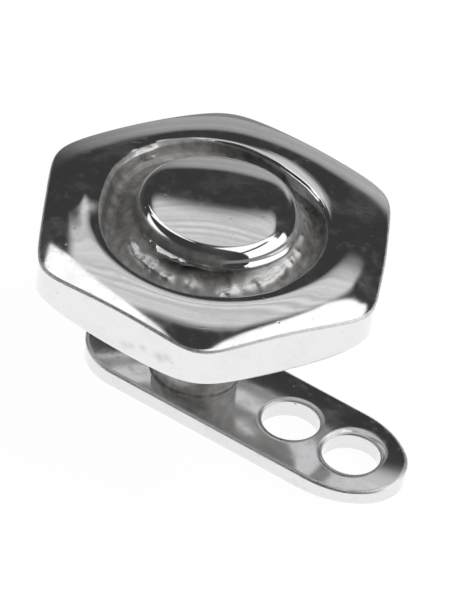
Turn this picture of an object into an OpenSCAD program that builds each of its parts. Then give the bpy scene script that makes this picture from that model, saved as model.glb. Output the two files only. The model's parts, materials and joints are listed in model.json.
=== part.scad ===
// Dermal anchor: a drilled base plate on a post, with a hexagonal domed head screwed down on it.
// Z points up out of the wearer's skin. The origin is on the post's axis, on the plate's underside.
// X runs along the plate, towards its drilled toe.

/* [Base plate] */
// Width of the plate
plate_w = 2.5; // [2.3:0.05:3]
// Thickness of the plate
plate_t = 0.45; // [0.35:0.05:0.7]
// From the post's axis to the tip of the toe
toe_reach = 5.1; // [4.9:0.1:5.8]
// From the post's axis to the start of the toe's taper
toe_start = 3.45; // [3:0.05:3.7]
// Radius of the toe's nose
nose_r = 1; // [0.85:0.05:1.1]
// Rounding of the plate's outer edges
plate_edge_r = 0.1; // [0.05:0.01:0.15]
// Diameter of the two holes that tissue heals through
hole_d = 1.2; // [0.9:0.05:1.3]
// From the post's axis to the nearer hole
hole_near_x = 2.4; // [2.2:0.05:2.6]
// Distance between the holes
hole_pitch = 1.5; // [1.4:0.05:1.6]
// Rounding of the holes' edges
hole_edge_r = 0.09; // [0.04:0.01:0.12]

/* [Post] */
// Diameter of the post
post_d = 1.8; // [1.7:0.05:2.2]
// Weld fillet where the post meets the plate
post_fillet = 0.06; // [0.02:0.01:0.15]

/* [Head] */
// Width of the head across its flats
head_flats = 7; // [6.6:0.1:7.8]
// How sharp the six corners are
corner_sharpness = 15; // [10:1:24]
// How far one corner is turned away from the toe
head_turn = 0; // [-30:1:30]
// Height of the crown's outer edge at the middle of a flat
head_edge_z = 4.2; // [3.8:0.05:4.8]
// Height of the side wall at the middle of a flat
head_wall_h = 1.03; // [0.8:0.01:1.2]
// How far the crown's edge dips at the corners
corner_dip = 0.105; // [0:0.005:0.2]
// How far the wall's lower edge lifts at the corners
corner_lift = 0.15; // [0:0.01:0.25]
// Rounding of the wall's lower edge
under_edge = 0.14; // [0.05:0.01:0.2]
// Width of the sloped band round the underside
under_slope = 0.25; // [0.1:0.05:0.4]
// How far the flat underside lies below that band
under_drop = 0.06; // [0.02:0.01:0.1]
// Radius of the crown's highest ring
ridge_r = 2.58; // [2.5:0.01:2.7]
// How far that ring stands above the edge
crown_rise = 0.22; // [0.1:0.01:0.35]
// How much of the crown's fall is straight, the rest being curved
crown_straight = 0.4; // [0:0.05:1]

/* [Recess and boss] */
// Radius of the recess inside the crown
recess_r = 2.33; // [2.2:0.01:2.4]
// Depth of the cast groove below the crown's highest ring
groove_depth = 0.3; // [0.26:0.01:0.4]
// How far the casting climbs the boss from the groove's floor
groove_climb = 0.22; // [0.1:0.01:0.25]
// Largest radius of the boss
boss_r = 1.68; // [1.5:0.01:1.75]
// How far the boss stands above the edge
boss_rise = 0.87; // [0.7:0.01:1.1]
// Radius of the polished cap's curve
cap_r = 6; // [3:0.1:8]
// Rounding of the boss's shoulder
shoulder_r = 0.31; // [0.2:0.01:0.45]

/* [Screw pin] */
// Diameter of the threaded pin
pin_d = 1.2; // [0.9:0.05:1.2]
// How far the pin reaches into the post
pin_in_post = 1.6; // [1:0.1:2]
// How far the pin reaches into the head
pin_in_head = 0.85; // [0.5:0.05:0.9]
// Running gap round the pin and under the head
gap = 0.03; // [0.02:0.01:0.05]

/* [Hidden] */
$fn = 96;

half_w = plate_w / 2;
heel_x = -half_w;
nose_x = toe_reach - nose_r;
// Side arc of the toe: tangent to the plate's long edge and to the nose
side_r = (pow(nose_x - toe_start, 2) / (half_w - nose_r) + half_w + nose_r) / 2;
side_y = side_r - half_w;
side_turn = atan2(nose_x - toe_start, side_y);
// The side arc starts a little inside the straight middle
lap_turn = 4;

head_under_z = head_edge_z - head_wall_h - under_drop;
post_top_z = head_under_z - gap;
ridge_z = head_edge_z + crown_rise;

flat_r = head_flats / 2;
corner_r = soft_hex(30);
head_points = 96;
crown_steps = 6;
// A round edge of radius 1, halfway round: how far it is from each of its two faces
halfway = 1 - cos(45);

// The groove's section beside the boss: [distance out from the boss, height above the floor]
boss_side = [
    [0.02, groove_climb],
    [0.14, groove_climb / 3],
    [0.32, 0]
];
// The groove's section beside the crown: [distance out from the recess's wall, depth below the ridge]
crown_side = [
    [-0.14, groove_depth],
    [-0.04, groove_depth - 0.05],
    [0, groove_depth - 0.13],
    [0.03, 0.09],
    [0.1, 0.03],
    [0.22, 0]
];

cap_z = head_edge_z + boss_rise - cap_r;
shoulder_x = boss_r - shoulder_r;
shoulder_z = cap_z + sqrt(pow(cap_r - shoulder_r, 2) - pow(shoulder_x, 2));
cap_end_r = shoulder_x * cap_r / (cap_r - shoulder_r);
core_z = head_edge_z - head_wall_h / 2;
// How far a cutting shape runs past what it cuts
over = 1;

// Sum of a list from its entry i on
function total(v, i = 0) = i < len(v) ? v[i] + total(v, i + 1) : 0;

// Distance from the head's axis to its side, at angle a from the middle of a flat
function soft_hex(a) =
    let (pull = [for (k = [0:5]) pow(max(0, cos(a - 60 * k)), corner_sharpness)])
    flat_r / pow(total(pull), 1 / corner_sharpness);

// How far round the corner the side is: 0 at the middle of a flat, 1 at a corner
function cornering(a) = (soft_hex(a) - flat_r) / (corner_r - flat_r);

// A ring of the crown, from the highest ring (u = 0) to the outer edge (u = 1)
function crown_ring(u) = [
    for (i = [0 : head_points - 1])
        let (a = 360 * i / head_points)
        let (r = ridge_r + (soft_hex(a) - ridge_r) * u)
        let (fallen = crown_straight * u + (1 - crown_straight) * u * u)
        [r * cos(a), r * sin(a), ridge_z - (crown_rise + corner_dip * cornering(a)) * fallen]
];

// A ring low on the side wall, set in from its face and raised above its lower edge
function foot_ring(inset, raised) = [
    for (i = [0 : head_points - 1])
        let (a = 360 * i / head_points)
        let (r = soft_hex(a) - inset)
        let (z = head_edge_z - head_wall_h + corner_lift * cornering(a) + raised)
        [r * cos(a), r * sin(a), z]
];

// A ring of the flat underside, set in from the side wall's face
function under_ring(inset) = [
    for (i = [0 : head_points - 1])
        let (a = 360 * i / head_points)
        let (r = soft_hex(a) - inset)
        [r * cos(a), r * sin(a), head_under_z]
];

// Closed solid through a stack of rings, the first on top
module stacked(rings) {
    n = len(rings[0]);
    last = (len(rings) - 1) * n;
    points = [for (ring = rings) each ring];
    sides = [
        for (k = [0 : len(rings) - 2])
            for (i = [0 : n - 1])
                let (j = (i + 1) % n)
                each [
                    [k * n + i, k * n + j, (k + 1) * n + i],
                    [k * n + j, (k + 1) * n + j, (k + 1) * n + i]
                ]
    ];
    top = [[for (i = [n - 1 : -1 : 0]) i]];
    bottom = [[for (i = [0 : n - 1]) last + i]];
    polyhedron(points, concat(top, sides, bottom), convexity = 6);
}

// Half of the plate's cross-section out to radius r, with a rounded rim
module rim_section(r) {
    square([r - plate_edge_r, plate_t]);
    translate([0, plate_edge_r]) square([r, plate_t - 2 * plate_edge_r]);
    for (z = [plate_edge_r, plate_t - plate_edge_r])
        translate([r - plate_edge_r, z]) circle(plate_edge_r, $fn = 32);
}

// Plate without its holes: heel, straight middle, toe's two side arcs and nose
module plate_blank() {
    translate([heel_x, 0, 0]) rotate_extrude() rim_section(half_w);
    translate([heel_x, 0, 0]) rotate([90, 0, 90]) linear_extrude(toe_start - heel_x)
        for (side = [0, 1]) mirror([side, 0]) rim_section(half_w);
    for (side = [0, 1]) mirror([0, side, 0]) translate([toe_start, -side_y, 0])
        rotate([0, 0, 90 - side_turn]) rotate_extrude(angle = side_turn + lap_turn) rim_section(side_r);
    translate([nose_x, 0, 0]) rotate_extrude() rim_section(nose_r);
}

module post_blank() {
    cylinder(h = post_top_z, d = post_d);
    rotate_extrude() translate([0, plate_t]) difference() {
        square([post_d / 2 + post_fillet, post_fillet]);
        translate([post_d / 2 + post_fillet, post_fillet]) circle(post_fillet, $fn = 32);
    }
}

// Hole through the plate, with its edges rounded above and below
module tissue_hole() {
    translate([0, 0, -over]) cylinder(h = plate_t + 2 * over, d = hole_d);
    for (side = [0, 1]) translate([0, 0, side * plate_t]) mirror([0, 0, side])
        rotate_extrude() difference() {
            translate([0, -over]) square([hole_d / 2 + hole_edge_r, over + hole_edge_r]);
            translate([hole_d / 2 + hole_edge_r, hole_edge_r]) circle(hole_edge_r, $fn = 32);
        }
}

module base_plate() {
    color("silver") difference() {
        union() {
            plate_blank();
            post_blank();
        }
        for (x = [hole_near_x, hole_near_x + hole_pitch])
            translate([x, 0, 0]) tissue_hole();
        translate([0, 0, post_top_z - pin_in_post - gap])
            cylinder(h = pin_in_post + over, d = pin_d + 2 * gap);
    }
}

module screw_pin() {
    color("darkgray") translate([0, 0, post_top_z - pin_in_post])
        cylinder(h = pin_in_post + gap + pin_in_head, d = pin_d);
}

// Crown, side wall and underside, before the recess is sunk
module head_blank() {
    stacked(concat(
        [for (k = [0 : crown_steps]) crown_ring(k / crown_steps)],
        [foot_ring(0, under_edge), foot_ring(under_edge * halfway, under_edge * halfway)],
        [foot_ring(under_edge, 0), under_ring(under_edge + under_slope)]
    ));
}

// Space that the recess takes out of the crown, down to the cast groove's floor
module recess() {
    floor_points = concat(
        [for (s = boss_side) [boss_r + s[0], ridge_z - groove_depth + s[1]]],
        [for (s = crown_side) [recess_r + s[0], ridge_z - s[1]]]
    );
    outer_r = floor_points[len(floor_points) - 1][0];
    rotate_extrude() polygon(concat(
        [[0, floor_points[0][1]]],
        floor_points,
        [[outer_r, ridge_z + over], [0, ridge_z + over]]
    ));
}

// Boss in the middle: a low polished cap on a rounded shoulder and a straight wall
module boss() {
    rotate_extrude() {
        intersection() {
            translate([0, cap_z]) circle(cap_r);
            translate([0, core_z]) square([cap_end_r, head_wall_h + boss_rise]);
        }
        translate([shoulder_x, shoulder_z]) circle(shoulder_r, $fn = 48);
        translate([0, core_z]) square([boss_r, shoulder_z - core_z]);
    }
}

module hex_head() {
    color("gainsboro") rotate([0, 0, head_turn + 30]) difference() {
        union() {
            difference() {
                head_blank();
                recess();
            }
            boss();
        }
        translate([0, 0, head_under_z - over])
            cylinder(h = pin_in_head + gap + over, d = pin_d + 2 * gap);
    }
}

base_plate();
screw_pin();
hex_head();
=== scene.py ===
from collections import namedtuple
from functools import reduce
import json
from math import asin, atan, atan2, cos, degrees, exp, hypot, pi, radians, sin, sqrt
import random

import bmesh
import bpy
import numpy as np
from mathutils import Matrix, Vector, noise
from mathutils.geometry import delaunay_2d_cdt


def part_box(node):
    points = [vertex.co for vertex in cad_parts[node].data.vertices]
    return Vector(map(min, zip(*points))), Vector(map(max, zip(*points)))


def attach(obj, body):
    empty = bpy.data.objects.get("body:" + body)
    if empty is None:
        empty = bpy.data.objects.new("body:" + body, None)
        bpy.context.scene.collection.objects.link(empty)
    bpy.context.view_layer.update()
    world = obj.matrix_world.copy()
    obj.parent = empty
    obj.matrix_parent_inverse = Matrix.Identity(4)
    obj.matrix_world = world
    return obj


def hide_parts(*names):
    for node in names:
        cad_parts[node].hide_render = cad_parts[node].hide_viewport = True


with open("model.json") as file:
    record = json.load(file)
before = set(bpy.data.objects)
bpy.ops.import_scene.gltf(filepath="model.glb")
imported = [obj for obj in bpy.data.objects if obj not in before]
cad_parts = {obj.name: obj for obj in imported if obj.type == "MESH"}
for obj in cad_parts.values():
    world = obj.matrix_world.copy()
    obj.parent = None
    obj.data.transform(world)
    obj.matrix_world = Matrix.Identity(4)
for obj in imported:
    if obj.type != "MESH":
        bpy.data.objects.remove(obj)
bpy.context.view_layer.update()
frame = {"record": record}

# Camera
# The photograph looks down on the jewel from the near right of its post, through a long lens that is rolled
# a little. The point on the post's axis at the height of the crown's edge lands on the aim pixel.
MM = 0.001
photo_w, photo_h = 471, 600
photo_focal = 8000
aim_pixel = (215.87, 226.54)
camera_azimuth = radians(29.264)
camera_elevation = radians(39.555)
camera_roll = radians(8.551)
camera_distance = 161.54 * MM
crown_edge_z = 4.2 * MM


def into_scene(name, data):
    """A new object in the scene."""
    made = bpy.data.objects.new(name, data)
    bpy.context.scene.collection.objects.link(made)
    return made


def aimed_camera():
    """The camera that puts the crown's middle on the aim pixel, rolled as in the photograph."""
    back = Vector((
        sin(camera_azimuth) * cos(camera_elevation),
        -cos(camera_azimuth) * cos(camera_elevation),
        sin(camera_elevation),
    ))
    level = Vector((cos(camera_azimuth), sin(camera_azimuth), 0))
    upright = back.cross(level)
    right = level * cos(camera_roll) + upright * sin(camera_roll)
    up = upright * cos(camera_roll) - level * sin(camera_roll)
    across = (aim_pixel[0] - photo_w / 2) * camera_distance / photo_focal
    above = (photo_h / 2 - aim_pixel[1]) * camera_distance / photo_focal
    data = bpy.data.cameras.new("camera")
    data.lens = data.sensor_width * photo_focal / photo_h
    data.clip_start = camera_distance / 10
    data.clip_end = camera_distance * 20
    camera = into_scene("camera", data)
    camera.matrix_world = Matrix((right, up, back)).transposed().to_4x4()
    camera.location = Vector((0, 0, crown_edge_z)) - right * across - up * above + back * camera_distance
    return camera


bpy.context.scene.camera = aimed_camera()

# Base plate
# The anchor proper: a thin stainless steel plate with a round heel and a tapered toe, drilled twice for the
# tissue that heals through it. The hollow post is welded on. Tumbling softened the rims and brightened the
# faces.
plate_low, plate_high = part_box("base_plate")
bores = [m for m in frame["record"]["mounts"] if m["kind"] == "bore"]
hole_x = sorted(m["pos_m"][0] for m in bores)
hole_r = bores[0]["dims"]["r_mm"] * MM
half_w = plate_high.y
heel_x = plate_low.x + half_w
plate_t = 2 * bores[0]["pos_m"][2]
rim_r = 0.08 * MM
# How far the top falls at its near and its far edge, and at the toe
top_fall = (0.05 * MM, 0.03 * MM)
toe_fall = 0.085 * MM
toe_start = 3.45 * MM
nose_r = 1 * MM
nose_x = plate_high.x - nose_r
side_r = ((nose_x - toe_start) ** 2 / (half_w - nose_r) + half_w + nose_r) / 2
side_y = side_r - half_w
side_turn = atan2(nose_x - toe_start, side_y)
lip_r = 0.05 * MM
# The dished mouths of the inner and the outer hole: depth, and width at the near and at the far side
dish_depth = (0.012 * MM, 0.035 * MM)
dish_w = ((0.11 * MM, 0.08 * MM), (0.12 * MM, 0.2 * MM))
dish_angle = radians(75)
hole_waist_z = 0.15 * MM
post_r = 0.9 * MM
post_top = plate_high.z
post_fillet = 0.06 * MM
post_edge = 0.03 * MM
bore_r = 0.63 * MM
post_bore_end = 1.45 * MM
seam = 0.01 * MM
round_steps = 96
# How deep the finest marks on the steel are, and how much skin it has, where 1 is the full skin of a casting
# and more adds painted shade
mark_depth = 0.0012 * MM
raw_skin_and_shade = 1.3
weld_skin_and_shade = 2


class Skin:
    """The points and faces of a piece while it is made."""

    def __init__(self):
        self.points = []
        self.faces = []

    def bands(self, rings):
        """Joins closed rings of as many points, each to the next, and gives the first and the last."""
        made = []
        for ring in rings:
            made.append(range(len(self.points), len(self.points) + len(ring)))
            self.points.extend(ring)
        for upper, lower in zip(made, made[1:]):
            for i in range(len(upper)):
                self.faces.append((upper[i - 1], lower[i - 1], lower[i], upper[i]))
        return made[0], made[-1]

    def flat(self, outer, openings, seeds):
        """Fills the flat between a convex ring and round openings with triangles through the seed points."""
        z = self.points[outer[0]][2]
        loops = [outer, *openings]
        used = [i for loop in loops for i in loop]
        at = {i: k for k, i in enumerate(used)}
        edges = [(at[loop[k - 1]], at[loop[k]]) for loop in loops for k in range(len(loop))]
        holes = []
        for loop in openings:
            corners = [Vector(self.points[i]).xy for i in loop]
            middle = sum(corners, Vector((0, 0))) / len(corners)
            holes.append((middle, corners))
        clear = 1.08
        free = [p for p in seeds if not any(within(p, corners, middle, clear) for middle, corners in holes)]
        flat_points = [Vector(self.points[i]).xy / MM for i in used] + [p / MM for p in free]
        triangles, came_from = delaunay_2d_cdt(flat_points, edges, [], 0, 1e-6)[2:4]
        first = len(self.points)
        self.points.extend((p.x, p.y, z) for p in free)
        number = [used[s[0]] if s[0] < len(used) else first + s[0] - len(used) for s in came_from]
        for triangle in triangles:
            corners = [number[k] for k in triangle]
            middle = sum((Vector(self.points[i]).xy for i in corners), Vector((0, 0))) / 3
            if not any(within(middle, ring, centre, 1) for centre, ring in holes):
                self.faces.append(tuple(corners))

    def piece(self, name):
        """The finished mesh object, its faces pointing outwards."""
        mesh = bpy.data.meshes.new(name)
        mesh.from_pydata(self.points, [], self.faces)
        shell = bmesh.new()
        shell.from_mesh(mesh)
        bmesh.ops.recalc_face_normals(shell, faces=shell.faces)
        shell.to_mesh(mesh)
        shell.free()
        mesh.shade_smooth()
        return into_scene(name, mesh)


def within(p, corners, middle, grown):
    """Whether a flat point lies inside a ring that is grown about its middle."""
    q = middle + (p - middle) / grown
    odd = False
    for a, b in zip(corners, corners[1:] + corners[:1]):
        if (a.y > q.y) != (b.y > q.y) and q.x < a.x + (b.x - a.x) * (q.y - a.y) / (b.y - a.y):
            odd = not odd
    return odd


def arc(x, y, r, start, end, steps):
    """Points on an arc from one angle towards another, without the last."""
    angles = [start + (end - start) * k / steps for k in range(steps)]
    return [(x + r * cos(a), y + r * sin(a)) for a in angles]


def outline(inset, z):
    """The plate's outline as a ring at height z, inset from its edge."""
    quarter = pi / 2
    heel = arc(heel_x, 0, half_w - inset, quarter, 3 * quarter, round_steps)
    straight = [(heel_x + (toe_start - heel_x) * k / 48, inset - half_w) for k in range(48)]
    side = arc(toe_start, side_y, side_r - inset, -quarter, side_turn - quarter, 32)
    nose = arc(nose_x, 0, nose_r - inset, side_turn - quarter, quarter - side_turn, 48)
    back = [(x, -y) for x, y in straight[1:] + side + nose[:1]]
    return [(x, y, z) for x, y in heel + straight + side + nose + back[::-1]]


def circle(x, z, radius):
    """A ring round the upright axis at x. radius is a length, or a function of the angle."""
    reach = radius if callable(radius) else lambda angle: radius
    angles = [2 * pi * k / round_steps for k in range(round_steps)]
    return [(x + reach(a) * cos(a), reach(a) * sin(a), z) for a in angles]


def rounding(steps):
    """Steps round an edge of radius 1 from one face to the other, and how far each lies inside the two."""
    turns = [pi / 2 * k / steps for k in range(steps + 1)]
    return [(1 - cos(t), 1 - sin(t)) for t in turns]


def hole_rings(x, dish, depth):
    """A hole's wall with rounded edges. Its mouth is dished, most at its near and far side."""
    def mouth(share, out):
        def reach(angle):
            toward = (1 + cos(angle - dish_angle)) / 2
            wide = (dish[0] + (dish[1] - dish[0]) * toward) * (1 - 0.75 * cos(angle) ** 2)
            return hole_r + lip_r * out + wide * share
        return reach

    rings = [circle(x, plate_t, lambda angle: mouth(1, 1)(angle) + seam), circle(x, plate_t, mouth(1, 1))]
    for share in (0.9, 0.75, 0.6, 0.45, 0.3, 0.15, 0.05):
        rings.append(circle(x, plate_t - depth * (1 - share) ** 2, mouth(share, 1)))
    edge_z = plate_t - depth
    rings += [circle(x, edge_z - lip_r * down, mouth(0, out)) for down, out in rounding(8)]
    rings += [circle(x, z, hole_r) for z in (edge_z - lip_r - seam, hole_waist_z, lip_r + seam)]
    rings += [circle(x, lip_r * up, hole_r + lip_r * out) for up, out in rounding(6)[::-1]]
    rings += [circle(x, 0, hole_r + lip_r + seam)]
    return rings


def post_rings():
    """The post from its weld fillet up its side, over its edge and down its bore."""
    rings = [circle(0, plate_t, post_r + post_fillet + seam)]
    rings += [circle(0, plate_t + post_fillet * up, post_r + post_fillet * out) for up, out in rounding(8)]
    rings += [circle(0, plate_t + post_fillet + seam, post_r)]
    rings += [circle(0, post_top - post_edge - seam, post_r)]
    rings += [circle(0, post_top - post_edge * down, post_r - post_edge * out) for out, down in rounding(5)]
    rings += [circle(0, post_top, r) for r in (post_r - post_edge - seam, bore_r + post_edge)]
    rings += [circle(0, z, bore_r) for z in (post_top - post_edge, post_bore_end)]
    return rings


def even_seeds(spacing, inset):
    """Points in staggered rows over the plate's face, clear of its edge."""
    edge = [Vector(point).xy for point in outline(inset, 0)]
    seeds = []
    for row in range(int(2 * half_w / spacing)):
        for column in range(int((plate_high.x - plate_low.x) / spacing)):
            x = plate_low.x + (column + 0.25 + row % 2 / 2) * spacing
            y = (row + 0.5) * spacing - half_w
            seed = Vector((x, y))
            if within(seed, edge, seed, 1):
                seeds.append(seed)
    return seeds


def crown_the_top(skin):
    """Lets the top fall a little towards its long edges and its toe, as tumbling leaves it."""
    for number, (x, y, z) in enumerate(skin.points):
        if z > plate_t / 2:
            to_toe = max(0, (x - toe_start) * sin(camera_azimuth) - y * cos(camera_azimuth))
            fall = top_fall[y > 0] * (y / half_w) ** 2
            fall += toe_fall * (to_toe / half_w) ** 2 * min(1, max(0, (x - toe_start) / MM))
            share = z * 2 / plate_t - 1 if z <= plate_t else max(0, 1 - (z - plate_t) / post_fillet)
            skin.points[number] = (x, y, z - fall * share)


def base_plate():
    """Plate, holes and post as one skin."""
    skin = Skin()
    rim = [outline(rim_r + seam, plate_t)]
    rim += [outline(rim_r * out, plate_t - rim_r * down) for down, out in rounding(10)]
    rim += [outline(0, plate_t - rim_r - seam), outline(0, rim_r + seam)]
    rim += [outline(rim_r * out, rim_r * up) for up, out in rounding(10)[::-1]]
    rim += [outline(rim_r + seam, 0)]
    top, bottom = skin.bands(rim)
    sides = [skin.bands(hole_rings(*hole)) for hole in zip(hole_x, dish_w, dish_depth)]
    foot, bore_end = skin.bands(post_rings())
    skin.faces.append(tuple(bore_end))
    seeds = even_seeds(spacing=0.16 * MM, inset=rim_r + 0.1 * MM)
    skin.flat(top, [foot] + [mouth for mouth, _ in sides], seeds)
    skin.flat(bottom, [floor for _, floor in sides], seeds)
    crown_the_top(skin)
    return skin.piece("anchor_base_plate")


class Wiring:
    """Adds nodes to a tree, with their settings made and their inputs set or linked."""

    def __init__(self, tree):
        self.tree = tree

    def node(self, kind, inputs=None, **settings):
        made = self.tree.nodes.new(kind)
        for name, value in settings.items():
            setattr(made, name, value)
        for name, value in (inputs or {}).items():
            if isinstance(value, bpy.types.NodeSocket):
                self.tree.links.new(value, made.inputs[name])
            else:
                made.inputs[name].default_value = value
        return made

    def calc(self, operation, *values):
        return self.first("ShaderNodeMath", dict(enumerate(values)), operation=operation)

    def first(self, *described, **settings):
        """The first output of a new node."""
        return self.node(*described, **settings).outputs[0]

    def plus(self, *terms):
        return reduce(lambda total, term: self.calc("ADD", total, term), terms)

    def minus(self, value, less):
        return self.calc("SUBTRACT", value, less)

    def times(self, *factors):
        return reduce(lambda total, factor: self.calc("MULTIPLY", total, factor), factors)

    def over(self, value, parts):
        return self.calc("DIVIDE", value, parts)

    def scaled(self, vector, factor):
        return self.first("ShaderNodeVectorMath", {0: vector, "Scale": factor}, operation="SCALE")

    def ramp(self, value, start, end, low=0.0, high=1.0):
        """A soft climb from low to high while the value goes from start to end."""
        return self.first("ShaderNodeMapRange", {
            "Value": value, "From Min": start, "From Max": end, "To Min": low, "To Max": high,
        }, interpolation_type="SMOOTHSTEP")

    def blend(self, share, low, high):
        return self.node("ShaderNodeMix", {"Factor": share, "A": low, "B": high}).outputs["Result"]


def sockets(tree, way, kind, *labels):
    """Gives a group inputs or outputs of one kind."""
    for label in labels:
        tree.interface.new_socket(name=label, in_out=way, socket_type="NodeSocket" + kind)


def effect(name, inputs, outputs):
    """A shader group with a vector and numbers as its inputs, and numbers as its outputs."""
    tree = bpy.data.node_groups.new(name, "ShaderNodeTree")
    sockets(tree, "INPUT", "Vector", "Vector")
    sockets(tree, "INPUT", "Float", *inputs)
    sockets(tree, "OUTPUT", "Float", *outputs)
    wiring = Wiring(tree)
    return tree, wiring, wiring.node("NodeGroupInput").outputs


def scratch_effect():
    """Hair scratches in crossing directions: how deep each spot is scratched, from 0 to 1."""
    tree, w, given = effect("hair scratches", ["Per Millimetre", "Length", "Share"], ["Depth"])
    deepest = None
    for turn, lift in ((0.35, 0.1), (1.5, -0.2), (2.45, 0.15)):
        flat = w.first("ShaderNodeVectorRotate", {
            "Vector": given["Vector"], "Rotation": (lift, 0.3 * lift, turn),
        }, rotation_type="EULER_XYZ")
        waver = w.node("ShaderNodeTexNoise", {"Vector": flat, "Scale": 0.4 / MM}).outputs["Color"]
        bend = w.scaled(waver, 0.12 * MM)
        bent = w.first("ShaderNodeVectorMath", {0: flat, 1: bend}, operation="ADD")
        x, y, z = w.node("ShaderNodeSeparateXYZ", {0: bent}).outputs
        short = w.over(x, given["Length"])
        long = w.first("ShaderNodeCombineXYZ", {"X": short, "Y": y, "Z": z})
        cells = w.node("ShaderNodeTexVoronoi", {
            "Vector": w.scaled(long, w.times(given["Per Millimetre"], 1 / MM)), "Scale": 1.0,
        })
        chosen = w.first("ShaderNodeSeparateXYZ", {0: cells.outputs["Color"]})
        line = w.ramp(cells.outputs["Distance"], 0.05, 0.0)
        line = w.times(line, w.calc("LESS_THAN", chosen, given["Share"]))
        deepest = line if deepest is None else w.calc("MAXIMUM", deepest, line)
    w.node("NodeGroupOutput", {"Depth": deepest})
    return tree


def pit_effect():
    """Small pits left in the metal, each of its own width: how deep each spot is, from 0 to 1."""
    tree, w, given = effect("pits", ["Per Millimetre", "Share", "Width"], ["Depth"])
    cells = w.node("ShaderNodeTexVoronoi", {
        "Vector": w.scaled(given["Vector"], w.times(given["Per Millimetre"], 1 / MM)), "Scale": 1.0,
    })
    chosen, size, _ = w.node("ShaderNodeSeparateXYZ", {0: cells.outputs["Color"]}).outputs
    reach = w.times(given["Width"], w.plus(0.4, size))
    dish = w.ramp(w.over(cells.outputs["Distance"], reach), 1.0, 0.4)
    w.node("NodeGroupOutput", {"Depth": w.times(dish, w.calc("LESS_THAN", chosen, given["Share"]))})
    return tree


def haze_effect():
    """Cloudy patches of duller polish, from 0 to 1, the slow waves of a buffing wheel, and a fine grain."""
    tree, w, given = effect("buffing haze", ["Patch Size", "Cover"], ["Haze", "Waves", "Grain"])
    spot = w.scaled(given["Vector"], w.over(1 / MM, given["Patch Size"]))

    def cloud(scale, detail, rough):
        return w.first("ShaderNodeTexNoise", {
            "Vector": spot, "Scale": scale, "Detail": detail, "Roughness": rough,
        })

    edge = w.minus(0.72, w.times(given["Cover"], 0.35))
    cloudy = w.ramp(w.minus(cloud(1.0, 5.0, 0.65), edge), -0.06, 0.12)
    waves, grain = cloud(1.3, 1.0, 0.5), cloud(14.0, 3.0, 0.6)
    w.node("NodeGroupOutput", {"Haze": cloudy, "Waves": waves, "Grain": grain})
    return tree


scratches, pits, haze = scratch_effect(), pit_effect(), haze_effect()


def steel(name, *, base, rough, hazed, scratched, pitted, waved, edge_dull=0.15, cast=(0.37, 0.5, 3)):
    """Bare steel: its reflectance and roughness when bright, and how strongly each effect shows.

    cast gives the reflectance, the roughness and the graininess of the skin that the casting mould left.
    """
    material = bpy.data.materials.new(name)
    material.use_nodes = True
    w = Wiring(material.node_tree)
    here = w.node("ShaderNodeTexCoord").outputs["Object"]
    cast_grey, cast_dull, cast_grain = cast

    def placed(tree, **inputs):
        values = {label.replace("_", " "): value for label, value in inputs.items()}
        return w.node("ShaderNodeGroup", {"Vector": here, **values}, node_tree=tree).outputs

    def painted(label):
        return w.node("ShaderNodeAttribute", attribute_name=label).outputs["Fac"]

    def mixed(start, *shares):
        return w.plus(start, *(w.times(mask, amount) for mask, amount in shares))

    clouds = placed(haze, Patch_Size=0.9, Cover=0.5)
    blotches = placed(haze, Patch_Size=0.28, Cover=0.35)
    hairs = placed(scratches, Per_Millimetre=2.6, Length=16.0, Share=0.35)["Depth"]
    dots = placed(pits, Per_Millimetre=7.0, Share=0.05, Width=0.2)["Depth"]
    casting = painted("casting")
    worn = w.times(painted("edge"), w.ramp(clouds["Grain"], 0.35, 0.65, 0.6, 1.0))
    metal = w.minus(1, w.times(w.calc("MINIMUM", casting, 1), 0.3))

    bright = mixed(
        base, (clouds["Haze"], -0.05 * hazed), (blotches["Haze"], -0.04 * hazed), (dots, -0.3 * pitted),
        (hairs, -0.1 * scratched), (worn, 0.05),
    )
    # Skin above 1 is painted shade, which darkens the skin's colour in creases, hollows and under the head
    painted_shade = w.calc("MAXIMUM", w.minus(casting, 1), 0)
    skin = mixed(
        cast_grey - 0.27, (clouds["Grain"], 0.12), (blotches["Haze"], 0.1), (clouds["Haze"], 0.1),
        (blotches["Waves"], 0.4), (painted_shade, -0.2),
    )
    grey = w.blend(casting, bright, skin)
    colour = w.first("ShaderNodeCombineColor", {
        "Red": w.times(grey, w.blend(casting, 1.0, 1.02)),
        "Green": grey,
        "Blue": w.times(grey, w.blend(casting, 1.012, 0.97)),
    })
    dull = mixed(
        rough, (clouds["Haze"], 0.04 * hazed), (blotches["Haze"], 0.08 * hazed), (dots, 0.2 * pitted),
        (hairs, 0.12 * scratched), (worn, edge_dull), (casting, cast_dull),
    )
    film = w.times(w.calc("MAXIMUM", clouds["Haze"], blotches["Haze"]), clouds["Grain"])
    film = w.times(film, 2.0 * hazed, w.minus(1, casting))
    slow = w.first("ShaderNodeBump", {"Distance": mark_depth * waved, "Height": clouds["Waves"]})
    marks = mixed(
        0, (hairs, -0.35 * scratched), (dots, -1.5 * pitted), (blotches["Grain"], 0.12),
        (w.times(blotches["Grain"], casting), cast_grain),
    )
    fine = w.first("ShaderNodeBump", {"Distance": mark_depth, "Height": marks, "Normal": slow})

    shader = material.node_tree.nodes["Principled BSDF"]
    shader.inputs["Coat Roughness"].default_value = 0.5
    shader.inputs["Coat IOR"].default_value = 1.9
    for socket, value in {
        "Metallic": metal, "Base Color": colour, "Roughness": dull, "Coat Weight": film, "Normal": fine,
    }.items():
        material.node_tree.links.new(value, shader.inputs[socket])
    return material


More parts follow.
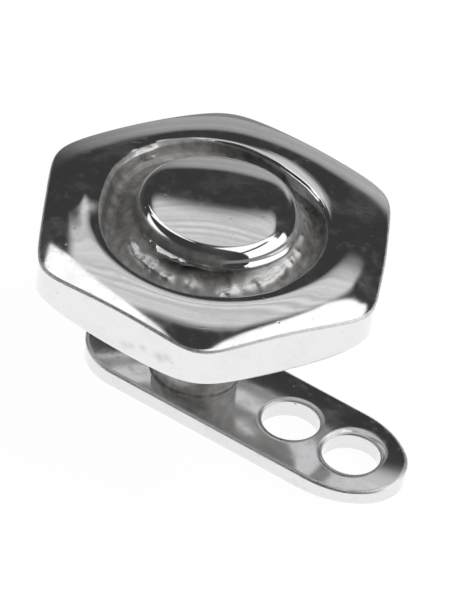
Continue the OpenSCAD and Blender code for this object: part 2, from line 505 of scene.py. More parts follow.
def mark_edges(piece, bend_r, beyond=0):
    """Stores how sharp an outer edge each point lies on, 1 where the steel bends as tightly as bend_r.

    Points nearer to the axis than beyond are left out.
    """
    shell = bmesh.new()
    shell.from_mesh(piece.data)
    values = []
    for point in shell.verts:
        tightest = 0
        for side in point.link_edges:
            if len(side.link_faces) == 2 and side.is_convex:
                apart = sum(face.calc_area() for face in side.link_faces) / (2 * side.calc_length())
                tightest = max(tightest, side.calc_face_angle() / apart)
        values.append(min(1, tightest * bend_r) if point.co.xy.length > beyond else 0)
    shell.free()
    kept = piece.data.attributes.new("edge", "FLOAT", "POINT")
    kept.data.foreach_set("value", values)


plate = base_plate()
# The post's side keeps its raw skin with a little painted shade, and more painted shade darkens the weld
# at its foot
post_skin_and_shade = plate.data.attributes.new("casting", "FLOAT", "POINT")
for point, mark in zip(plate.data.vertices, post_skin_and_shade.data):
    if point.co.xy.length < post_r + 0.9 * post_fillet and point.co.z > plate_t / 2:
        mark.value = weld_skin_and_shade if point.co.z < plate_t + post_fillet / 2 else raw_skin_and_shade
mark_edges(plate, bend_r=0.1 * MM)
plate.data.materials.append(steel(
    "tumbled steel", base=0.645, rough=0.09, hazed=1.2, scratched=1.0, pitted=1.0, waved=2.5,
    edge_dull=0.4, cast=(0.42, 0.3, 0.5),
))
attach(plate, "root")
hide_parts("base_plate")

# Screw pin
# The stainless steel stud that holds the head on the post. It was turned from bar and screwed into both, and
# it is out of sight between them, so it stays one plain pin.
pin_low, pin_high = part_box("screw_pin")
pin_r = pin_high.x
pin_edge = 0.05 * MM


def screw_pin():
    """The pin with its two ends' edges broken."""
    skin = Skin()
    broken = [(pin_r - pin_edge * out, pin_edge * along) for out, along in rounding(4)]
    rings = [circle(0, pin_high.z - down, reach) for reach, down in broken[::-1]]
    rings += [circle(0, pin_low.z + up, reach) for reach, up in broken]
    first, last = skin.bands(rings)
    skin.faces += [tuple(first), tuple(last)]
    return skin.piece("turned_screw_pin")


pin = screw_pin()
mark_edges(pin, bend_r=0.05 * MM)
pin.data.materials.append(steel(
    "turned steel", base=0.55, rough=0.25, hazed=0.5, scratched=1.5, pitted=0.3, waved=1.0,
))
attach(pin, "root")
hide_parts("screw_pin")

# Head
# One steel casting, screwed down on the post: a soft hexagon with a crown that falls to its sides, a round
# recess whose groove keeps the rough skin of the casting, and a domed boss in the middle. All that a wheel
# could reach was polished bright.
head_low, head_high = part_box("hex_head")
flat_r = head_high.y
corner_r = head_high.x
corner_sharpness = 15
first_flat = 30
wall_h = 1.03 * MM
corner_dip = 0.105 * MM
corner_lift = 0.15 * MM
crown_rise = 0.22 * MM
crown_straight = 0.4
ridge_r = 2.58 * MM
ridge_z = crown_edge_z + crown_rise
crown_edge_r = 0.065 * MM
ridge_lag = 0.07
shoulder_polish = radians(46)
foot_r = 0.14 * MM
foot_slope = 0.25 * MM
wall_foot_z = crown_edge_z - wall_h
head_bore_end = 3.99 * MM
recess_r = 2.33 * MM
groove_depth = 0.3 * MM
boss_r = 1.68 * MM
cap_r = 6 * MM
cap_z = head_high.z - cap_r
shoulder_r = 0.31 * MM
shoulder_x = boss_r - shoulder_r
shoulder_z = cap_z + sqrt((cap_r - shoulder_r) ** 2 - shoulder_x ** 2)
cap_turn = asin(shoulder_x / (cap_r - shoulder_r))


def smooth_through(points, steps):
    """A smooth line through the points, with so many steps between each two."""
    ends = [points[0], *points, points[-1]]
    line = []
    for a, b, c, d in zip(ends, ends[1:], ends[2:], ends[3:]):
        for k in range(steps):
            t = k / steps
            before = -t * (1 - t) ** 2 / 2
            at_b = 1 + t ** 2 * (3 * t - 5) / 2
            at_c = t * (1 + 4 * t - 3 * t ** 2) / 2
            after = t ** 2 * (t - 1) / 2
            columns = zip(a, b, c, d)
            line.append(tuple(before * p + at_b * q + at_c * r + after * s for p, q, r, s in columns))
    return line + [points[-1]]


# A row of the section: its height, its distance from the axis where it is round, how far it follows the
# hexagon, how far it lies inside the hexagon, how far it drops at a corner, how much it has of the casting's
# skin, where more than 1 is painted shade, and how much of its lumps and of its uneven outline
Row = namedtuple("Row", "height round_r hexness inset corner_drop casting lumps wander", defaults=[0] * 7)


def boss_section():
    """The polished cap, its shoulder and the boss's wall."""
    rows = []
    for k in range(25):
        turn = cap_turn * k / 24
        rows.append(Row(cap_z + cap_r * cos(turn), cap_r * sin(turn)))
    for k in range(1, 17):
        turn = cap_turn + (pi / 2 - cap_turn) * k / 16
        z = shoulder_z + shoulder_r * cos(turn)
        reach = shoulder_x + shoulder_r * sin(turn)
        rows.append(Row(z, reach, casting=min(1, max(0, (turn - shoulder_polish) / 0.25))))
    return rows


def groove_section():
    """The boss's wall down to the casting, the cast groove, and the recess's wall up to the ridge."""
    floor = ridge_z - groove_depth
    boss_side = [(0, 0.46), (0, 0.39), (0.01, 0.33), (0.05, 0.27), (0.17, 0.17), (0.34, 0.06), (0.45, 0.01)]
    crown_side = [
        (-0.16, 0.3), (-0.06, 0.25), (-0.01, 0.17), (0.015, 0.1), (0.035, 0.05), (0.075, 0.016),
        (0.13, 0.004),
    ]
    line = [(boss_r + out * MM, floor + above * MM) for out, above in boss_side]
    line += [(recess_r + out * MM, ridge_z - below * MM) for out, below in crown_side]
    line.append((ridge_r, ridge_z))
    rows = []
    for reach, z in smooth_through(line, 6):
        share = (reach - boss_r) / (recess_r - boss_r)
        skin = 1 if reach < ridge_r - 0.06 * MM else 0
        lumps = min(1, max(0, (floor + 0.4 * MM - z) / (0.15 * MM))) * min(1, max(0, (1.05 - share) / 0.3))
        wander = min(1, max(0, share * 3)) * min(1, max(0, (1.35 - share) / 0.3))
        rows.append(Row(z, reach, casting=skin, lumps=lumps, wander=wander))
    return rows


def crown_fallen(share):
    """How much of its fall the crown has behind it, so far from its ridge to its edge."""
    def lagging(at):
        return at - ridge_lag * (1 - exp(-at / ridge_lag))

    return crown_straight * lagging(share) / lagging(1) + (1 - crown_straight) * share * share


def crown_section():
    """The crown from its ridge to its crisp outer edge, and the side wall down to its foot."""
    slope = atan((2 - crown_straight) * crown_rise / (flat_r - ridge_r))
    last_share = 1 - crown_edge_r * (1 - sin(slope)) / (flat_r - ridge_r)
    rows = []
    for k in range(1, 49):
        share = last_share * k / 48
        fallen = crown_fallen(share)
        rows.append(Row(ridge_z - crown_rise * fallen, ridge_r, share, corner_drop=corner_dip * fallen))
    drop = rows[-1].height - crown_edge_r * cos(slope)
    for k in range(1, 11):
        turn = slope + (pi / 2 - slope) * k / 10
        z = drop + crown_edge_r * cos(turn)
        rows.append(Row(z, 0, 1, crown_edge_r * (1 - sin(turn)), corner_dip))
    wall_top = rows[-1].height - seam
    wall_end = wall_foot_z + foot_r + seam
    for k in range(33):
        share = k / 32
        z = wall_top + (wall_end - wall_top) * share
        rows.append(Row(z, 0, 1, 0, corner_dip - (corner_dip + corner_lift) * share))
    return rows


def under_section():
    """The wall's rounded foot, the flat underside, cast and darkened by painted shade but for one bright
    ring, and the blind bore.
    """
    rows = [Row(wall_foot_z + foot_r * up, 0, 1, foot_r * out, -corner_lift) for out, up in rounding(10)]
    slope_end = foot_r + foot_slope
    # Skin above 1 on the underside is painted shade under the head
    for share, skin in ((0.1, 0), (0.5, 0), (0.9, raw_skin_and_shade)):
        z = wall_foot_z + (head_low.z - wall_foot_z) * share
        rows.append(Row(z, 0, 1, foot_r + foot_slope * share, -corner_lift * (1 - share), casting=skin))
    rows += [Row(head_low.z, 0, 1, inset, casting=raw_skin_and_shade) for inset in (slope_end, slope_end + seam)]
    for reach, skin in ((2.9, raw_skin_and_shade), (2.82, 0), (2.5, 0), (2.2, 0), (2.14, raw_skin_and_shade)):
        rows.append(Row(head_low.z, reach * MM, casting=skin))
    rows += [Row(head_low.z, (2.1 - 0.2 * k) * MM, casting=raw_skin_and_shade) for k in range(7)]
    rows.append(Row(head_low.z, bore_r + post_edge, casting=raw_skin_and_shade))
    rows += [Row(z, bore_r) for z in (head_low.z + post_edge, head_bore_end - seam, head_bore_end)]
    rows += [Row(head_bore_end, reach) for reach in (bore_r - seam, 0)]
    return rows


def head_section():
    """The head's section from the top of the boss to the end of the bore, as a line with its columns."""
    rows = boss_section() + groove_section() + crown_section() + under_section()
    mesh = bpy.data.meshes.new("head_section")
    steps = [(k, k + 1) for k in range(len(rows) - 1)]
    mesh.from_pydata([(row.round_r, 0, row.height) for row in rows], steps, [])
    for name in Row._fields:
        values = mesh.attributes.new(name, "FLOAT", "POINT")
        values.data.foreach_set("value", [getattr(row, name) for row in rows])
    return mesh


def head_tree():
    """Turns the section round the axis, and lets it follow a soft hexagon where its columns say so."""
    tree = bpy.data.node_groups.new("turned head", "GeometryNodeTree")
    sockets(tree, "INPUT", "Geometry", "Section")
    sockets(tree, "INPUT", "Int", "Steps Round")
    sockets(
        tree, "INPUT", "Float", "Flat Radius", "Corner Radius", "Corner Sharpness", "First Flat",
        "Lump Height", "Lump Size", "Wander", "Seed",
    )
    sockets(tree, "INPUT", "Material", "Steel")
    sockets(tree, "OUTPUT", "Geometry", "Head")
    wiring = Wiring(tree)
    node, first, calc = wiring.node, wiring.first, wiring.calc
    plus, minus, times, over = wiring.plus, wiring.minus, wiring.times, wiring.over
    given = node("NodeGroupInput").outputs

    def stored(name):
        return first("GeometryNodeInputNamedAttribute", {"Name": name}, data_type="FLOAT")

    rows = node("GeometryNodeAttributeDomainSize", {"Geometry": given["Section"]}).outputs["Point Count"]
    last_row = minus(rows, 1)
    grid = node("GeometryNodeMeshGrid", {
        "Size X": given["Steps Round"],
        "Size Y": last_row,
        "Vertices X": plus(given["Steps Round"], 1),
        "Vertices Y": rows,
    })
    place = node("ShaderNodeSeparateXYZ", {0: first("GeometryNodeInputPosition")}).outputs
    step = plus(place["X"], over(given["Steps Round"], 2))
    row = calc("ROUND", plus(place["Y"], over(last_row, 2)))
    column = {}
    for name in Row._fields:
        column[name] = first("GeometryNodeSampleIndex", {
            "Geometry": given["Section"], "Value": stored(name), "Index": row,
        })
    turn = times(over(step, given["Steps Round"]), 2 * pi)
    off_flat = calc("WRAP", minus(turn, given["First Flat"]), pi / 6, -pi / 6)
    powers = []
    for flat in (-1, 0, 1):
        facing = calc("MAXIMUM", calc("COSINE", plus(off_flat, flat * pi / 3)), 0)
        powers.append(calc("POWER", facing, given["Corner Sharpness"]))
    pull = calc("POWER", plus(*powers), over(1, given["Corner Sharpness"]))
    side = over(given["Flat Radius"], pull)
    most_cornering = minus(given["Corner Radius"], given["Flat Radius"])
    cornering = over(minus(side, given["Flat Radius"]), most_cornering)
    reach = node("ShaderNodeMix", {
        "Factor": column["hexness"],
        "A": column["round_r"],
        "B": minus(side, column["inset"]),
    }).outputs["Result"]
    cosine, sine = calc("COSINE", turn), calc("SINE", turn)
    around = first("ShaderNodeCombineXYZ", {"X": cosine, "Y": sine, "Z": given["Seed"]})
    unevenness = first("ShaderNodeTexNoise", {"Vector": around, "Scale": 2.6, "Detail": 3.0})
    reach = plus(reach, times(minus(unevenness, 0.5), 4, given["Wander"], column["wander"]))
    spot = first("ShaderNodeCombineXYZ", {
        "X": times(reach, cosine),
        "Y": times(reach, sine),
        "Z": minus(column["height"], times(column["corner_drop"], cornering)),
    })
    rough = grid.outputs["Mesh"]
    for name in ("casting", "lumps"):
        rough = first("GeometryNodeStoreNamedAttribute", {
            "Geometry": rough, "Name": name, "Value": column[name],
        }, data_type="FLOAT", domain="POINT")
    turned = first("GeometryNodeSetPosition", {"Geometry": rough, "Position": spot})
    closed = first("GeometryNodeMergeByDistance", {"Geometry": turned, "Distance": 0.0002 * MM})
    outward = first("GeometryNodeFlipFaces", {"Mesh": closed})
    here = first("GeometryNodeInputPosition")
    lumps = first("ShaderNodeTexNoise", {
        "Vector": wiring.scaled(here, 1 / MM),
        "W": given["Seed"],
        "Scale": over(MM, given["Lump Size"]),
        "Detail": 1.5,
        "Roughness": 0.4,
    }, noise_dimensions="4D")
    swell = times(minus(lumps, 0.5), given["Lump Height"])
    offset = first("ShaderNodeVectorMath", {
        0: first("GeometryNodeInputNormal"),
        "Scale": times(swell, 2, stored("lumps")),
    }, operation="SCALE")
    cast = first("GeometryNodeSetPosition", {"Geometry": outward, "Offset": offset})
    smooth = first("GeometryNodeSetShadeSmooth", {"Geometry": cast})
    real = first("GeometryNodeRealizeInstances", {"Geometry": smooth})
    steel = first("GeometryNodeSetMaterial", {"Geometry": real, "Material": given["Steel"]})
    node("NodeGroupOutput", {"Head": steel})
    return tree


def made_by(tree, name, base, values):
    """A plain mesh made by a tree from a base mesh, with the tree's inputs set by name."""
    made = into_scene(name, base)
    maker = made.modifiers.new("maker", "NODES")
    maker.node_group = tree
    for item in tree.interface.items_tree:
        if item.item_type == "SOCKET" and item.in_out == "INPUT" and item.name in values:
            maker[item.identifier] = values[item.name]
    depsgraph = bpy.context.evaluated_depsgraph_get()
    mesh = bpy.data.meshes.new_from_object(made.evaluated_get(depsgraph), depsgraph=depsgraph)
    made.modifiers.remove(maker)
    made.data = mesh
    mesh.name = name
    return made


Spot = namedtuple("Spot", "x y z reach rise polish")
# How much skin a polished bead keeps, and the widest gap between two beads that crumbs fill
bead_skin = 0.42
crumb_gap = 0.34


def rework(piece, spots):
    """Raises beads, or presses dents where the rise is below 0. Rows of spots are in millimetres.

    A spot's polish takes the casting's skin off. A bead is polished on its upper side and keeps some skin.
    """
    mesh = piece.data
    count = len(mesh.vertices)
    place, out = np.empty(count * 3), np.empty(count * 3)
    mesh.vertices.foreach_get("co", place)
    mesh.vertices.foreach_get("normal", out)
    place, out = place.reshape(count, 3), out.reshape(count, 3)
    skin = np.empty(count)
    mesh.attributes["casting"].data.foreach_get("value", skin)
    moved = place.copy()
    for spot in (Spot(*row) for row in spots):
        away = np.linalg.norm(place - np.array((spot.x, spot.y, spot.z)) * MM, axis=1) / (spot.reach * MM)
        near = np.nonzero(away < 2.6)[0]
        ragged = np.array([noise.noise(Vector(place[k]) / (spot.reach * MM)) for k in near])
        share = np.exp(-(away[near] * (1 + 0.3 * ragged)) ** 2)
        moved[near] += out[near] * (share * spot.rise * MM)[:, None]
        above = (place[near, 2] / MM - spot.z) / spot.reach
        upper = np.clip(0.6 + above * 1.5, 0, 1) if spot.rise > 0 else 1
        least = bead_skin if spot.rise > 0 else 0
        skin[near] = np.maximum(skin[near] - spot.polish * share * upper, np.minimum(skin[near], least))
    mesh.vertices.foreach_set("co", moved.ravel())
    mesh.attributes["casting"].data.foreach_set("value", np.clip(skin, 0, 2))
    mesh.update()


# The recess as it was worked by hand: by direction in degrees, how far its wall lies out from its circle,
# how far the crown beside it stands up, and how far out the casting's skin ends, in millimetres
RECESS = [
    (-180, 0.06, 0.035, 0.14), (-160, -0.05, 0.035, 0.14), (-141, -0.02, 0.035, 0.12),
    (-129, 0.05, 0.03, 0.1), (-109, 0.13, 0.02, 0.08), (-91, 0.14, 0.015, 0.08), (-72, 0.13, 0.015, 0.08),
    (-54, 0.08, 0.02, 0.08), (-28, 0.02, 0.025, 0.1), (-9, -0.06, 0.025, 0.1), (7, -0.1, 0.02, 0.1),
    (30, -0.13, 0.01, 0.08), (44, -0.12, 0.005, 0.06), (54, -0.11, 0, 0.03), (62, -0.1, 0, 0),
    (77, -0.1, 0, -0.02), (86, -0.07, 0, 0.02), (100, 0, 0, 0.04), (114, 0.07, 0, 0.05),
    (126, 0.1, 0, 0.08), (140, 0.13, 0, 0.14), (157, 0.14, 0.01, 0.14), (170, 0.09, 0.025, 0.14),
    (180, 0.06, 0.035, 0.14),
]
recess_line = list(zip(*smooth_through(RECESS, 8)))
Worn = namedtuple("Worn", "turn spread depth width")
WORN_LIP = [Worn(50, 26, 0.036, 0.26), Worn(84, 20, 0.034, 0.36), Worn(160, 16, 0.03, 0.16)]
# Metal splashed on the boss's foot: direction in degrees, and how far it stands out in millimetres
SPLASHED = [
    (-180, 0), (-120, 0), (-116, 0.02), (-112, 0), (-108, 0.03), (-104, 0.01), (-101, 0.07), (-97, 0.13),
    (-93, 0.12), (-90, 0.1), (-86, 0.11), (-82, 0.07), (-79, 0.1), (-75, 0.05), (-70, 0.03), (-66, 0.05),
    (-60, 0.02), (-52, 0), (180, 0),
]
near_corner = -60
corner_hang = 0.11 * MM
ground_turn = 6
ground_off = 0.06 * MM
ledge_top = 4.62 * MM
ledge_h = 0.22 * MM
bulge_z = 4.53 * MM
bulge_out = 0.07 * MM
wander_end = 3.1 * MM
# Where a point of the head lay before it was worked, with its distance from the axis and its direction
Place = namedtuple("Place", "x y z reach turn")


def climb(value, start, end):
    """A soft climb from 0 to 1 while the value goes from start to end."""
    share = min(1, max(0, (value - start) / (end - start)))
    return share * share * (3 - 2 * share)


def bell(value, middle, spread):
    """1 at the middle, and softly less to both sides."""
    return exp(-((value - middle) / spread) ** 2)


def sagging(value, start, reach, depth, power):
    """A fall that begins at start and is depth after reach, from where it goes on straight."""
    off = max(0, (value - start) / reach)
    return depth * (off ** power if off < 1 else 1 + power * (off - 1))


def push_out(point, share):
    """Moves a point away from the axis by a share of its distance."""
    point.co.x *= 1 + share
    point.co.y *= 1 + share


def crown_drop(reach, turn):
    """How far the crown has dropped below its ridge at a point."""
    facing = [max(0, cos(radians(turn - first_flat - 60 * k))) for k in range(6)]
    side = flat_r / sum(f ** corner_sharpness for f in facing) ** (1 / corner_sharpness)
    fallen = crown_fallen(max(0, (reach - ridge_r) / (side - ridge_r)))
    return fallen * (crown_rise + corner_dip * (side - flat_r) / (corner_r - flat_r))


def work_corners(point, at):
    """Grinds the right corner in a little, and lets the near corner's foot hang lower."""
    ground = ground_off * bell(at.turn, ground_turn, 14) * climb(at.reach, 2.9 * MM, 3.6 * MM)
    push_out(point, -ground / max(at.reach, seam))
    hanging = bell(at.turn, near_corner, 20) * climb(at.reach, 2.9 * MM, 3.5 * MM)
    point.co.z -= corner_hang * hanging * (1 - climb(at.z, wall_foot_z + 0.2 * MM, crown_edge_z - 0.15 * MM))


def work_recess(point, at, mark):
    """Wears the recess's lip, paints shade low on the groove's far wall, and lets its wall wander off the
    circle with the crown following it.
    """
    turns, *columns = recess_line
    wander, risen, bare = (float(np.interp(at.turn, turns, column)) * MM for column in columns)
    if recess_r - 0.2 * MM < at.reach < ridge_r + 0.3 * MM:
        for worn in WORN_LIP:
            share = bell(at.turn, worn.turn, worn.spread)
            share *= climb(at.reach, recess_r - 0.2 * MM, recess_r - 0.02 * MM)
            inward = min(1, max(0, (recess_r + (0.08 + worn.width) * MM - at.reach) / (worn.width * MM)))
            point.co.z -= worn.depth * MM * share * inward ** 1.3
        mark.value *= 1 - climb(at.reach, recess_r + bare - 0.04 * MM, recess_r + bare)
        # Painted shade: the skin low on the groove's far wall is darkened beyond the full skin
        far_wall_shade = climb(at.turn, 10, 60) * (1 - climb(at.turn, 100, 150))
        mark.value *= 1 + 0.7 * far_wall_shade * (1 - climb(at.z, ridge_z - 0.07 * MM, ridge_z))
    aside = climb(at.reach, 1.75 * MM, 2.15 * MM) * (1 - climb(at.reach, 2.5 * MM, wander_end))
    out = at.reach + wander * aside
    if at.z > ridge_z - groove_depth + 0.01 * MM and boss_r + 0.3 * MM < at.reach < wander_end:
        point.co.z -= crown_drop(out, at.turn) - crown_drop(at.reach, at.turn)
        point.co.z += risen * (1 - climb(out, 2.3 * MM, 3.0 * MM)) * climb(at.z, ridge_z - 0.2 * MM, ridge_z)
    push_out(point, out / max(at.reach, seam) - 1)


def work_boss_foot(point, at, mark):
    """Paints shade into the boss's near foot where it meets the groove, and splashes a ledge of bright metal
    on its wall.
    """
    # Painted shade: the skin at the boss's near foot is darkened beyond the full skin
    crevice_shade = climb(at.turn, -100, -70) * (1 - climb(at.turn, -50, -30))
    crevice_shade *= 1 - climb(at.reach, 1.7 * MM, 2 * MM)
    mark.value *= 1 + crevice_shade * (1 - climb(at.z, 4.46 * MM, 4.54 * MM))
    if boss_r - 0.01 * MM < at.reach < boss_r + 0.02 * MM:
        splash = float(np.interp(at.turn, *zip(*SPLASHED))) * MM
        down = (ledge_top - at.z) / ledge_h
        if splash > 0.001 * MM and 0 < down < 1:
            # The ledge is nearly level in the middle and steep above and below
            level = min(down, 0.3) + 0.15 * min(1, max(0, (down - 0.3) / 0.4)) + max(0, down - 0.7) * 11 / 6
            point.co.z += min(1, splash / (0.04 * MM)) * (down - level) * ledge_h
            splash *= climb(down, 0.28, 0.7) * (1 - 0.4 * climb(down, 0.8, 1))
            push_out(point, splash / at.reach)
            mark.value *= 1 - min(1, splash / (0.03 * MM))


def work_dome(point, at, mark):
    """Lets the dome sag to the right and far side, and polishes a bulge on the boss's right wall."""
    z = point.co.z
    right = (at.x * cos(camera_azimuth) + at.y * sin(camera_azimuth)) / MM
    ahead = (at.y * cos(camera_azimuth) - at.x * sin(camera_azimuth)) / MM
    sag = sagging(right, start=0.9, reach=0.45, depth=0.033, power=3)
    sag += sagging(ahead, start=0.3, reach=1, depth=0.045, power=2.5)
    point.co.z -= sag * MM * climb(z, 4.45 * MM, 4.8 * MM)
    side = climb(at.turn, -62, -44) * (1 - climb(at.turn, -6, 14))
    mark.value *= 1 - side * climb(z, 4.42 * MM, 4.5 * MM)
    push_out(point, side * bulge_out / max(at.reach, seam) * bell(z, bulge_z, 0.06 * MM))


def finish_by_hand(piece):
    """Takes every point of the turned head to where the casting and the wheel left it."""
    for point, mark in zip(piece.data.vertices, piece.data.attributes["casting"].data):
        x, y, z = point.co
        at = Place(x, y, z, hypot(x, y), degrees(atan2(y, x)))
        work_corners(point, at)
        if z >= head_bore_end:
            work_recess(point, at, mark)
            work_boss_foot(point, at, mark)
            if at.reach < boss_r + 0.05 * MM:
                work_dome(point, at, mark)


head = made_by(head_tree(), "polished_hex_head", head_section(), {
    "Steps Round": 400,
    "Flat Radius": flat_r,
    "Corner Radius": corner_r,
    "Corner Sharpness": corner_sharpness,
    "First Flat": radians(first_flat),
    "Lump Height": 0.05 * MM,
    "Lump Size": 0.34 * MM,
    "Wander": 0.012 * MM,
    "Seed": 3.0,
    "Steel": steel(
        "polished cast steel", base=0.67, rough=0.045, hazed=0.8, scratched=0.7, pitted=0.5, waved=1.5,
        edge_dull=0.6,
    ),
})
finish_by_hand(head)
# Rows of spots: first the beads of metal along the groove, from the left round the near side to the right
BEADS = [
    (-0.95, -1.69, 4.23, 0.14, 0.037, 1.4), (-0.78, -1.82, 4.22, 0.11, 0.026, 1.0),
    (-0.63, -1.91, 4.21, 0.12, 0.032, 1.1), (-0.40, -1.98, 4.22, 0.14, 0.037, 1.2),
    (-0.15, -2.02, 4.21, 0.17, 0.055, 1.6), (0.14, -2.05, 4.21, 0.12, 0.032, 1.1),
    (0.27, -2.02, 4.21, 0.11, 0.032, 0.9), (0.66, -1.91, 4.21, 0.19, 0.053, 1.5),
    (1.29, -1.65, 4.17, 0.15, 0.032, 1.0), (1.43, -1.46, 4.18, 0.15, 0.037, 1.1),
    (1.61, -1.17, 4.21, 0.16, 0.042, 1.2), (1.73, -0.92, 4.23, 0.16, 0.047, 1.3),
    (1.81, -0.61, 4.24, 0.18, 0.042, 1.1), (1.84, -0.34, 4.28, 0.15, 0.037, 0.9),
    (1.83, -0.01, 4.27, 0.18, 0.037, 0.8), (1.82, 0.34, 4.29, 0.15, 0.032, 0.7),
    (1.59, 0.75, 4.38, 0.12, 0.032, 0.8), (1.31, 1.25, 4.31, 0.12, 0.032, 0.8),
]
OTHER_SPOTS = [
    # Melted blob and streak on the recess's left lip
    (-2.36, 0.73, 4.35, 0.13, 0.035, 2), (-2.35, 0.86, 4.37, 0.14, 0.035, 2),
    (-2.30, 0.97, 4.32, 0.12, 0.025, 2), (-2.24, 0.95, 4.18, 0.07, 0.03, 1.4),
    (-2.30, 0.81, 4.22, 0.07, 0.03, 1.4), (-2.40, 0.19, 4.32, 0.06, 0, 0.8),
    (-2.40, 0.29, 4.32, 0.06, 0, 0.9), (-2.39, 0.38, 4.31, 0.06, 0, 1.0),
    (-2.39, 0.48, 4.31, 0.06, 0, 1.0), (-2.38, 0.57, 4.31, 0.06, 0, 0.8),
    # Swelling of the crown beside the recess, at the left
    (-2.42, -1.15, 4.42, 0.55, 0.045, 0),
    # Dents in the near wall
    (0.30, -3.5, 3.44, 0.1, -0.012, -0.3), (0.47, -3.5, 3.5, 0.08, -0.008, -0.25),
    (0.73, -3.5, 3.6, 0.08, -0.012, -0.3), (1.12, -3.5, 3.6, 0.1, -0.016, -0.4),
    (1.30, -3.5, 3.68, 0.09, -0.012, -0.3),
    # Bright place on the underside
    (0.34, 1.42, 3.11, 0.15, 0, 2.2), (0.60, 1.34, 3.11, 0.15, 0, 2.2),
]


def crumbs_between_beads(shaken):
    """Small crumbs of metal strewn between neighbouring beads."""
    crumbs = []
    for one, other in zip(BEADS, BEADS[1:]):
        if (Vector(one[:3]) - Vector(other[:3])).length < crumb_gap:
            for _ in range(3):
                share = shaken.random()
                spread = [shaken.gauss(0, size) for size in (0.035, 0.035, 0.01)]
                place = [a + (b - a) * share + jump for a, b, jump in zip(one, other, spread)]
                reach = shaken.uniform(0.07, 0.12)
                crumbs.append((*place, reach, reach * shaken.uniform(0.02, 0.1), shaken.uniform(0.2, 0.7)))
    return crumbs


rework(head, BEADS + crumbs_between_beads(random.Random(4)) + OTHER_SPOTS)
mark_edges(head, bend_r=0.07 * MM, beyond=3 * MM)
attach(head, "root")
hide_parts("hex_head")

# Light table and studio
# The jewel stands on a white light table inside a dark tent. A striped window of cloth lies ahead overhead,
# a bright panel leans in from each side, and a low one stands at the left. The steel shows little else.
floor_reach = 400 * MM
glow_start = 10 * MM
glow_end = 32 * MM
table_glow = 1.2
table_far_glow = 0.25
table_seen = 0.95
tent_glow = 0.055
panel_glow = 1.55


def light_table():
    """The white table, which glows in the steel and takes only a faint shadow."""
    mesh = bpy.data.meshes.new("light_table")
    corners = [(x * floor_reach, y * floor_reach, 0) for x, y in ((-1, -1), (1, -1), (1, 1), (-1, 1))]
    mesh.from_pydata(corners, [], [(0, 1, 2, 3)])
    made = into_scene("light_table", mesh)
    material = bpy.data.materials.new("white light table")
    material.use_nodes = True
    wiring = Wiring(material.node_tree)
    shader = material.node_tree.nodes["Principled BSDF"]
    shader.inputs["Base Color"].default_value = (0.1, 0.1, 0.1, 1)
    shader.inputs["Specular IOR Level"].default_value = 0
    shader.inputs["Emission Color"].default_value = (1, 1, 1, 1)
    here = wiring.node("ShaderNodeTexCoord").outputs["Object"]
    away = wiring.node("ShaderNodeVectorMath", {0: here}, operation="LENGTH").outputs["Value"]
    glow = wiring.ramp(away, glow_start, glow_end, table_glow, table_far_glow)
    seen = wiring.node("ShaderNodeLightPath").outputs["Is Camera Ray"]
    material.node_tree.links.new(wiring.blend(seen, glow, table_seen), shader.inputs["Emission Strength"])
    made.data.materials.append(material)
    return made


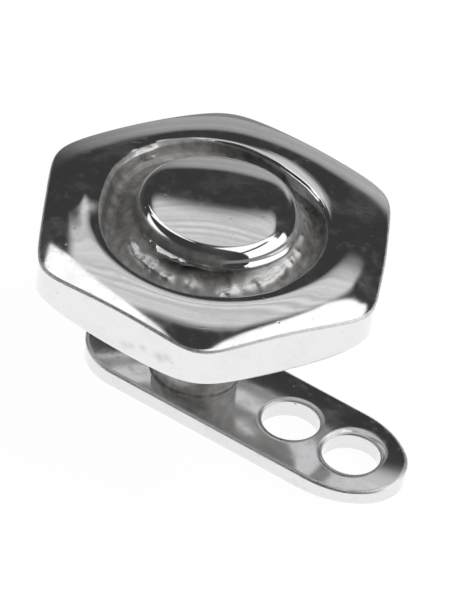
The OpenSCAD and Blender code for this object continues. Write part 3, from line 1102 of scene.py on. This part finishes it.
def tent():
    """What surrounds the table, by how far to the right and how far ahead a spot overhead lies."""
    world = bpy.data.worlds.new("tent")
    world.use_nodes = True
    tree = world.node_tree
    tree.nodes.clear()
    wiring = Wiring(tree)
    node, first, calc, ramp, blend = wiring.node, wiring.first, wiring.calc, wiring.ramp, wiring.blend
    plus, minus, times, over = wiring.plus, wiring.minus, wiring.times, wiring.over
    direction = node("ShaderNodeTexCoord").outputs["Generated"]
    turned = first("ShaderNodeVectorRotate", {
        "Vector": direction, "Angle": -camera_azimuth,
    }, rotation_type="Z_AXIS")
    side, ahead, up = node("ShaderNodeSeparateXYZ", {0: turned}).outputs
    height = calc("MAXIMUM", up, 0.01)
    across = over(side, height)
    away = over(ahead, height)

    def nearer(line_x, line_y, slope, soft):
        """1 on the near side of a slanted line overhead."""
        line = plus(times(minus(across, line_x), slope), line_y)
        return minus(1, ramp(minus(away, line), -soft, soft))

    def stripes(value, fineness, detail):
        """Soft stripes from 0 to 1, where a value is the same."""
        return first("ShaderNodeTexNoise", {
            "W": times(value, fineness), "Scale": 1.0, "Detail": detail,
        }, noise_dimensions="1D")

    # Cloth wall at the far end, low down, darker to the left
    wall = times(ramp(up, 0.35, 0.25), ramp(ahead, -0.2, 0.1), ramp(side, 0.5, 0.4))
    wall_light = plus(ramp(side, -0.4, -0.08, 0.08, 0.47), ramp(side, -0.1, 0.4, 0.0, 0.14))
    folds = plus(0.7, times(stripes(up, 22, 1.5), 0.6))
    light = blend(wall, tent_glow, times(wall_light, folds))
    # Window overhead, bowed at its far edge, with fine stripes along its length
    corner = calc("MAXIMUM", minus(across, 0.33), 0)
    far_edge = minus(plus(0.86, times(across, across, 1.4)), times(corner, corner, 4.5))
    near_edge = times(calc("MAXIMUM", minus(across, 0.14), 0), 1.25)
    window = times(
        ramp(minus(far_edge, away), -0.17, 0.17),
        ramp(minus(away, near_edge), 0.28, 0.41),
        ramp(across, -0.51, -0.41),
        ramp(minus(across, times(minus(away, 1), 0.15)), 0.62, 0.54),
    )
    light = blend(window, light, ramp(stripes(away, 24, 1.0), 0.3, 0.7, 0.68, 1.05))
    # Panel at the left, with a gap in it, and the low panel beside it
    gap = times(ramp(across, -0.675, -0.715), ramp(across, -1.6, -1.5), ramp(away, 0.62, 0.7))
    left = times(
        nearer(-0.66, 0.96, -1.0, 0.02),
        nearer(-0.46, 0.745, -1.95, 0.025),
        nearer(-0.72, 0.99, -0.2, 0.02),
        ramp(minus(away, times(across, 0.12)), -0.05, 0.05),
        ramp(up, 0.2, 0.3),
        ramp(across, -0.15, -0.2),
        minus(1, gap),
        minus(1, ramp(plus(across, times(away, 1.43)), 0.08, -0.08)),
    )
    spread = plus(times(across, across), times(away, away))
    low_left = times(
        ramp(spread, 1.6, 2.2),
        ramp(spread, 14, 10),
        ramp(away, -0.6, -0.45),
        ramp(away, 0.8, 0.65),
        ramp(across, -0.9, -1.2),
    )
    # Panel at the right, with a dark bar before it and a gap at its end
    bar = times(ramp(calc("ABSOLUTE", minus(across, 0.69)), 0.12, 0.06), ramp(away, 0.45, 0.3))
    end = times(ramp(across, 0.67, 0.71), ramp(across, 1.6, 1.5), ramp(away, 0.62, 0.7))
    right = times(
        nearer(0.2, 0.325, 1.75, 0.025),
        nearer(0.37, 0.63, 0.7, 0.025),
        ramp(plus(away, times(across, 0.9)), -0.05, 0.05),
        minus(1, bar),
        minus(1, end),
        ramp(minus(away, times(across, 0.4)), 0.62, 0.54),
    )
    panels = times(calc("MAXIMUM", calc("MAXIMUM", left, low_left), right), ramp(up, 0.0, 0.05))
    light = blend(panels, light, panel_glow)
    # The table goes on below, and the camera sees white
    light = blend(ramp(up, 0.0, -0.01), light, table_far_glow)
    light = blend(node("ShaderNodeLightPath").outputs["Is Camera Ray"], light, 1.0)
    glow = node("ShaderNodeBackground", {"Color": (1, 1, 1, 1), "Strength": light})
    node("ShaderNodeOutputWorld", {"Surface": glow.outputs[0]})
    return world


light_table()
bpy.context.scene.world = tent()
bpy.context.scene.view_settings.view_transform = "Standard"
